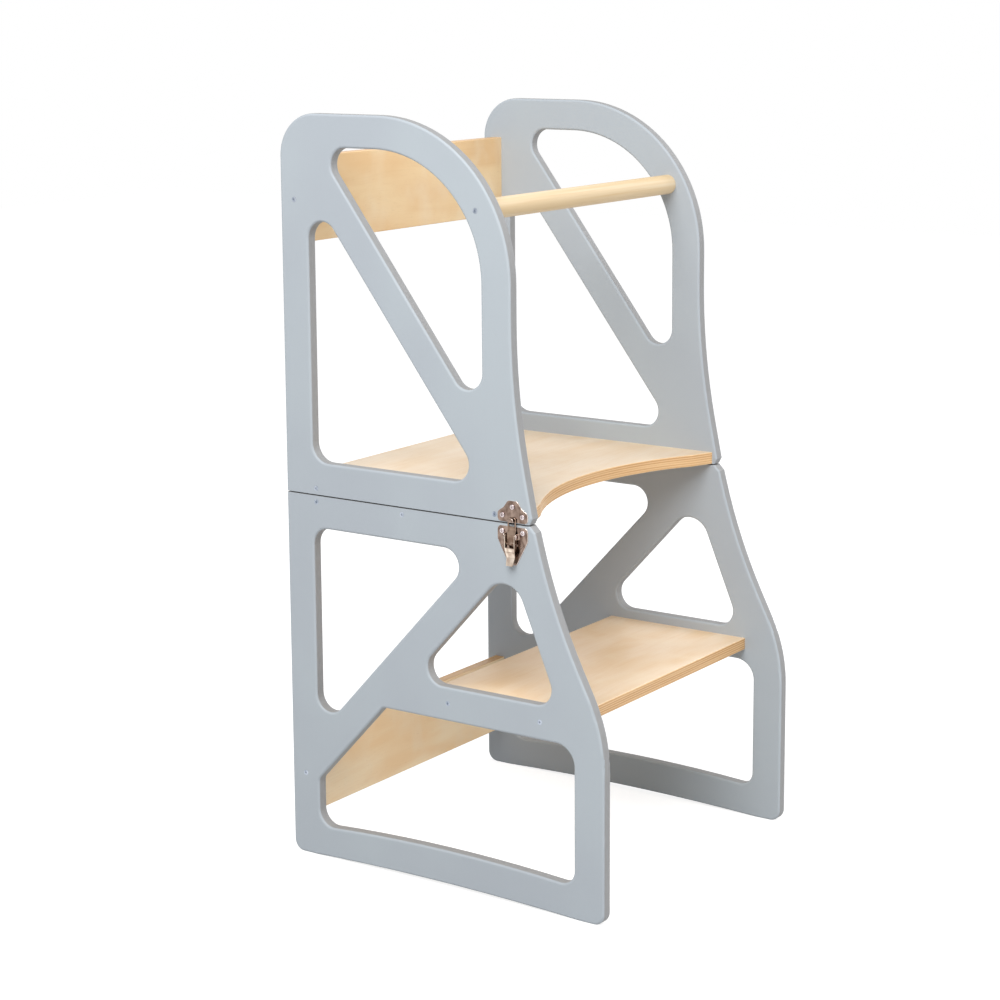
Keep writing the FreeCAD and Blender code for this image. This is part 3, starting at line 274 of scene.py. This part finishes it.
def plated_steel(name, light, dark, edge_tone_and_highlight, roughness, dimple_mm):
    """Pressed sheet steel with a bright plated skin: the press leaves shallow waves that break up the
    reflections, the plating clouds from light to dark, and drawing lines and fine pits blur the shine. The
    edges of the sheet are tumbled, and have a tone of their own, which on the pressed plates is a pale painted
    highlight along the rims."""
    material, tree = new_material(name)
    place, (across, _, _) = surface(tree)
    made = patterns(tree, place, {
        "waves": ((6, 6, 9), 1.0, 0.5),
        "pits": ((0.5, 0.5, 2.4), 2.0, 0.5),
    })
    colour = lay_over(tree, linear(dark), (made["waves"], 0.3, 0.7, 1.0, light),
                      (across, 0.97, 0.6, 1.0, edge_tone_and_highlight))
    spread = add(tree, "Math", {"operation": "MULTIPLY_ADD"}, {0: made["pits"], 1: PIT_SPREAD,
                                                               2: roughness - PIT_SPREAD / 2})
    pitting = add(tree, "Bump", inputs={"Height": made["pits"], "Distance": 0.01 * MM, "Strength": 0.5})
    relief = add(tree, "Bump", inputs={"Height": made["waves"], "Distance": dimple_mm * MM, "Strength": 1.0,
                                       "Normal": pitting})
    shader = add(tree, "BsdfPrincipled", inputs={"Base Color": colour, "Metallic": 1.0, "Roughness": spread,
                                                 "Normal": relief})
    add(tree, "OutputMaterial", inputs={"Surface": shader})
    return material


def soften_edges(node):
    """Rounds a pressed piece's sheared edges, so that they catch the light. Known fault: with the overlap clamp
    off, fold lines show on the plates. With it on they are gone, and so is nearly all of the rounding."""
    weld = node.modifiers.new("weld", "WELD")
    weld.merge_threshold = WELD
    bevel = node.modifiers.new("soft_edges", "BEVEL")
    bevel.width = EDGE_RADIUS
    bevel.segments = EDGE_SEGMENTS
    bevel.limit_method = "ANGLE"
    bevel.use_clamp_overlap = False
    bevel.angle_limit = SHARP_ANGLE


def finish_nodes():
    """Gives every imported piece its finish."""
    paint = painted_plywood()
    dowel = birch_dowel()
    # Nickel over steel is warm, with a pinkish shine. The brightness of each copy is partly painted reflection:
    # the plates and claws are dark and brownish, a painted reflection of dark surroundings, and the levers are
    # bright, a painted reflection of the lamp on their faces. The plates and claws are also barrel plated and
    # duller, the levers rubbed bright by fingers, and the turned screw heads are the brightest. The pressed
    # plates' pale edge tone is a painted highlight along their rims.
    pressed = plated_steel("nickel_plated_steel_pressed", "#9C887C", "#715E54", "#EFE2DA", 0.22, 0.16)
    claw = plated_steel("nickel_plated_steel_claw", "#9A8474", "#6B5548", "#B8A394", 0.2, 0.12)
    lever = plated_steel("nickel_plated_steel_lever", "#E3D4C4", "#B7A393", "#8F7D70", 0.24, 0.1)
    turned = plated_steel("nickel_plated_steel_turned", "#DDD2D2", "#B5A8A8", "#A89A9C", 0.12, 0.02)
    # Zinc, passivated blue: cooler and duller than nickel.
    zinc = plated_steel("zinc_plated_steel", "#BAC1CC", "#8E98A6", "#A3ABB6", 0.3, 0.05)
    metals = {"latch_base_screws": turned, "catch_screws": turned, "latch_pivot_rivets": turned,
              "latch_lever_pin": turned, "latch_lever": lever, "latch_claw": claw, "latch_base": pressed,
              "catch_plate": pressed}
    # Each board: the axis along its grain, the axis through its plies, and the two tones of its face, because
    # no two sheets are alike. The tones also carry painted light: the platform and the step are paler, a
    # painted sheen on their level faces, and the lower rear board is paler, painted light in its shade.
    boards = {
        "platform": (X, Z, "#F0DBC0", "#EACFAC"),
        "step_board": (X, Z, "#F3DBBD", "#ECCDA5"),
        "hinge_board": (X, Z, "#F2D9B4", "#EACB9F"),
        "upper_rear_board": (X, Y, "#F2D4A6", "#E9C28E"),
        "lower_rear_board": (X, Y, "#FAE3BE", "#F2D0A2"),
    }
    for name, node in NODES.items():
        if name in boards:
            grain_axis, ply_axis, pale, tan = boards[name]
            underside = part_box(name)[0][ply_axis]
            finish = birch_plywood("birch_plywood_" + name, grain_axis, ply_axis, underside, pale, tan)
        elif "_side_" in name:
            finish = paint
        elif name == "front_rail":
            finish = dowel
        elif name.startswith(("latch", "catch")):
            finish = metals[name.rsplit("_", 1)[0]]
        else:
            finish = zinc
        node.data.materials.clear()
        node.data.materials.append(finish)
        if finish in (pressed, claw, lever):
            soften_edges(node)


# Studio -------------------------------------------------------------------------------------------------

def seen_directly(tree):
    """1 for rays that show the background itself: camera, mirror and glass rays."""
    path = add(tree, "LightPath").outputs
    shiny = add(tree, "Math", {"operation": "MAXIMUM"}, {0: path["Is Glossy Ray"],
                                                         1: path["Is Transmission Ray"]})
    return add(tree, "Math", {"operation": "MAXIMUM"}, {0: path["Is Camera Ray"], 1: shiny})


def studio_floor():
    """A wide pale floor. Seen directly it is white but for the tower's soft shadow, and it bounces little."""
    bpy.ops.mesh.primitive_plane_add(size=FLOOR_WIDTH)
    floor = bpy.context.object
    floor.name = "studio_floor"
    material, tree = new_material("pale_floor")
    seen = seen_directly(tree)
    colour = add(tree, "Mix", COLOURS, {"Factor": seen, "A": linear("#BEBEBE"), "B": linear("#B4B4B4")})
    paper = add(tree, "BsdfDiffuse", inputs={"Color": colour})
    strength = add(tree, "Math", {"operation": "MULTIPLY"}, {0: seen, 1: FLOOR_GLOW})
    glow = add(tree, "Emission", inputs={"Strength": strength})
    both = add(tree, "AddShader", inputs={0: paper, 1: glow})
    add(tree, "OutputMaterial", inputs={"Surface": both})
    floor.data.materials.append(material)


def studio_light():
    """An even white room, with a large soft lamp above the near side, and weaker ones in front and beside the
    far side."""
    world = bpy.data.worlds.new("white_room")
    bpy.context.scene.world = world
    world.use_nodes = True
    tree = world.node_tree
    tree.nodes.clear()
    # The room lights the tower at ROOM_LIGHT, and is white where it is seen.
    strength = add(tree, "Math", {"operation": "MULTIPLY_ADD"}, {0: seen_directly(tree), 1: 1.0 - ROOM_LIGHT,
                                                                 2: ROOM_LIGHT})
    back = add(tree, "Background", inputs={"Color": (1, 1, 1, 1), "Strength": strength})
    add(tree, "OutputWorld", inputs={"Surface": back})
    for name, (place, aim, width, power) in LAMPS.items():
        lamp = bpy.data.lights.new(name, "AREA")
        lamp.shape = "DISK"
        lamp.size = width
        lamp.energy = power
        holder = bpy.data.objects.new(name, lamp)
        bpy.context.scene.collection.objects.link(holder)
        holder.location = place
        holder.rotation_mode = "QUATERNION"
        holder.rotation_quaternion = (Vector(aim) - Vector(place)).to_track_quat("-Z", "Y")


def camera():
    """Turned by yaw from +Y towards +X, pitched down, and rolled."""
    data = bpy.data.cameras.new("camera")
    data.lens = CAMERA_LENS_MM
    data.shift_x, data.shift_y = CAMERA_SHIFT
    holder = bpy.data.objects.new("camera", data)
    bpy.context.scene.collection.objects.link(holder)
    turn = (Matrix.Rotation(-CAMERA_YAW, 3, "Z") @ Matrix.Rotation(math.pi / 2 - CAMERA_PITCH, 3, "X")
            @ Matrix.Rotation(CAMERA_ROLL, 3, "Z"))
    holder.matrix_world = Matrix.Translation(CAMERA_PLACE) @ turn.to_4x4()
    bpy.context.scene.camera = holder


finish_nodes()
studio_floor()
studio_light()
camera()
bpy.context.scene.view_settings.view_transform = "Standard"
